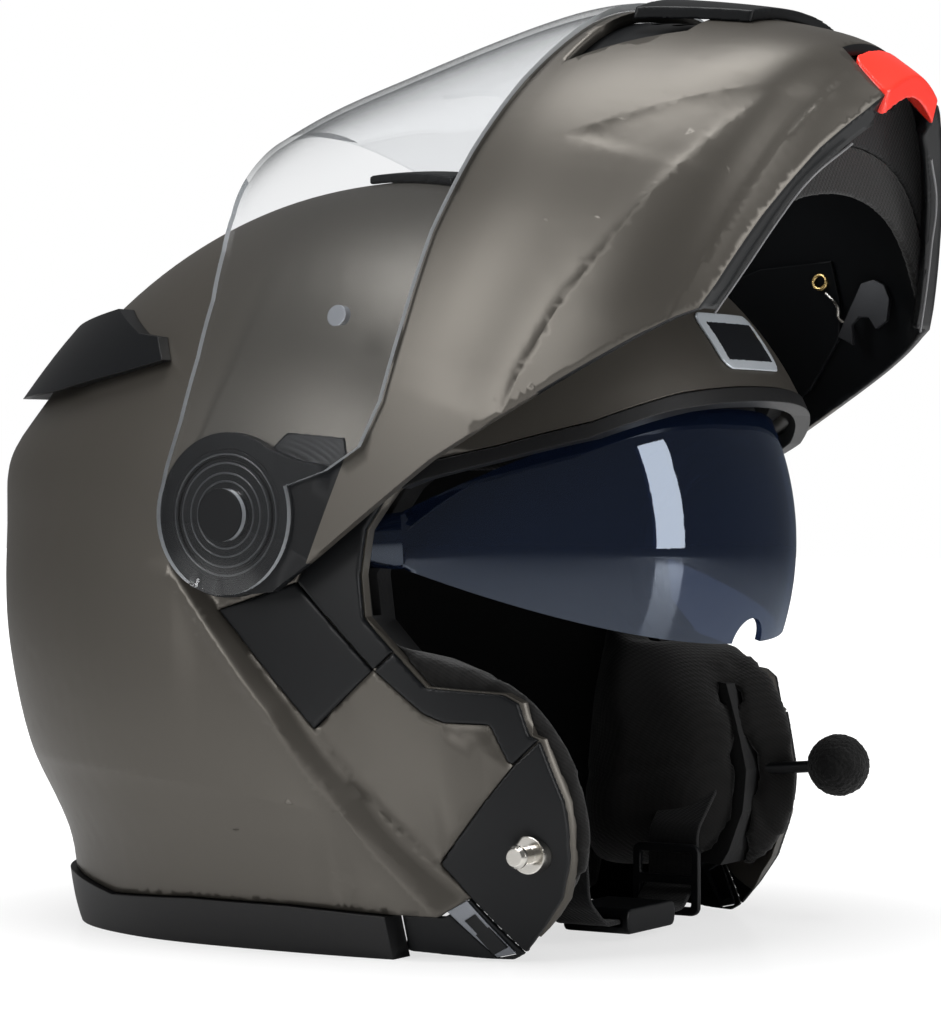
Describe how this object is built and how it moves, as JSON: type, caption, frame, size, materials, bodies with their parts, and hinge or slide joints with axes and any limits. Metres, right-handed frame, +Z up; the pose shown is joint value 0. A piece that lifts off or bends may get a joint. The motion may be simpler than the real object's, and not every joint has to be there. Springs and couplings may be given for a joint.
{
  "type": "modular motorcycle helmet",
  "caption": "Full-face motorcycle helmet whose chin bar turns up, with clear visor, dropping sun visor, vents, lining, chin strap and microphone.",
  "frame": {"origin": "centre of the bounding box on the surface the helmet stands on, chin bar turned up", "axes": "+Z up, -Y the way the helmet faces, +X its left side"},
  "size_m": [0.2568, 0.3592, 0.3296],
  "materials": {
    "shell_paint": "matt metallic bronze grey",
    "trim_black": "fine satin black",
    "inlay_metal": "satin",
    "steel": "polished",
    "rubber_black": "matt",
    "foam_black": "expanded foam",
    "lining": "brushed cloth",
    "mesh_cloth": "open mesh",
    "webbing": "woven strap",
    "foam_ball": "open foam",
    "clear_visor": "clear",
    "stud": "clear plastic",
    "dark_visor": "smoked",
    "red_plastic": "satin red",
    "badge_plate": "silver edge"
  },
  "bodies": {
    "shell": {"outer_shell": "shell_paint", "side_plate_right": "trim_black", "side_plate_left": "trim_black", "eyeport_frame_right": "trim_black", "eyeport_frame_left": "trim_black", "front_trim_right": "trim_black", "front_trim_left": "trim_black", "latch_plate_right": "trim_black", "latch_plate_left": "trim_black", "corner_trim_right": "trim_black", "corner_trim_left": "trim_black", "corner_inlays": "inlay_metal", "lock_pins": "steel", "bottom_trim": "rubber_black", "brow_trim": "rubber_black", "eps_liner": "foam_black", "crown_pad": "lining", "cheek_pad_right": "lining", "cheek_pad_left": "lining", "neck_roll": "lining", "rear_vent": "trim_black", "badge": "badge_plate", "ratchet_base_right": "trim_black", "ratchet_base_left": "trim_black", "pivot_caps": "trim_black", "pivot_plate_right": "trim_black", "pivot_plate_left": "trim_black", "strap_right": "webbing", "strap_left": "webbing", "strap_slider": "trim_black", "buckle": "trim_black", "mic_boom": "trim_black", "mic_foam": "foam_ball"},
    "chin_bar": {"chin_bar_shell": "shell_paint", "chin_vent_base": "trim_black", "chin_foam": "foam_black", "arm_cover_right": "trim_black", "arm_cover_left": "trim_black", "curtain_mesh": "mesh_cloth", "curtain_band": "lining"},
    "visor": {"visor": "clear_visor", "visor_studs": "stud"},
    "sun_visor": {"sun_visor": "dark_visor"},
    "sun_lever": {"sun_lever": "trim_black"},
    "crown_vent": {"crown_vent": "trim_black"},
    "chin_vent": {"chin_vent_scoop": "trim_black"},
    "release_button": {"release_button": "red_plastic"},
    "hook_right": {"latch_hook_right": "steel"},
    "hook_left": {"latch_hook_left": "steel"}
  },
  "joints": [
    {"name": "chin_bar_flip", "type": "hinge", "parent": "shell", "child": "chin_bar", "pos_m": [0, 0.0195, 0.15], "axis": [1, 0, 0], "range_deg": [0, 75]},
    {"name": "visor_pivot", "type": "hinge", "parent": "chin_bar", "child": "visor", "pos_m": [0, 0.0195, 0.15], "axis": [-1, 0, 0], "range_deg": [0, 35]},
    {"name": "sun_visor_pivot", "type": "hinge", "parent": "shell", "child": "sun_visor", "pos_m": [0, -0.0105, 0.14], "axis": [-1, 0, 0], "range_deg": [0, 44]},
    {"name": "sun_lever_slide", "type": "slide", "parent": "shell", "child": "sun_lever", "axis": [0, -1, 0], "range_m": [0, 0.016]},
    {"name": "crown_vent_slide", "type": "slide", "parent": "shell", "child": "crown_vent", "axis": [0, -1, 0], "range_m": [0, 0.005]},
    {"name": "chin_vent_slide", "type": "slide", "parent": "chin_bar", "child": "chin_vent", "axis": [0, 0.9659, 0.2588], "range_m": [0, 0.005]},
    {"name": "release_press", "type": "slide", "parent": "chin_bar", "child": "release_button", "axis": [0, 0.9659, 0.2588], "range_m": [0, 0.0035], "stiffness_N_per_m": 600, "springref_m": -0.001},
    {"name": "hook_turn_right", "type": "hinge", "parent": "chin_bar", "child": "hook_right", "pos_m": [0, -0.11915, 0.23087], "axis": [1, 0, 0], "range_deg": [0, 8]},
    {"name": "hook_turn_left", "type": "hinge", "parent": "chin_bar", "child": "hook_left", "pos_m": [0, -0.11915, 0.23087], "axis": [1, 0, 0], "range_deg": [0, 8]}
  ],
  "couplings": [
    {"joint": "sun_lever_slide", "follows": "sun_visor_pivot", "m_per_rad": 0.0208},
    {"joint": "hook_turn_right", "follows": "release_press", "rad_per_m": 39.5},
    {"joint": "hook_turn_left", "follows": "release_press", "rad_per_m": 39.5}
  ]
}
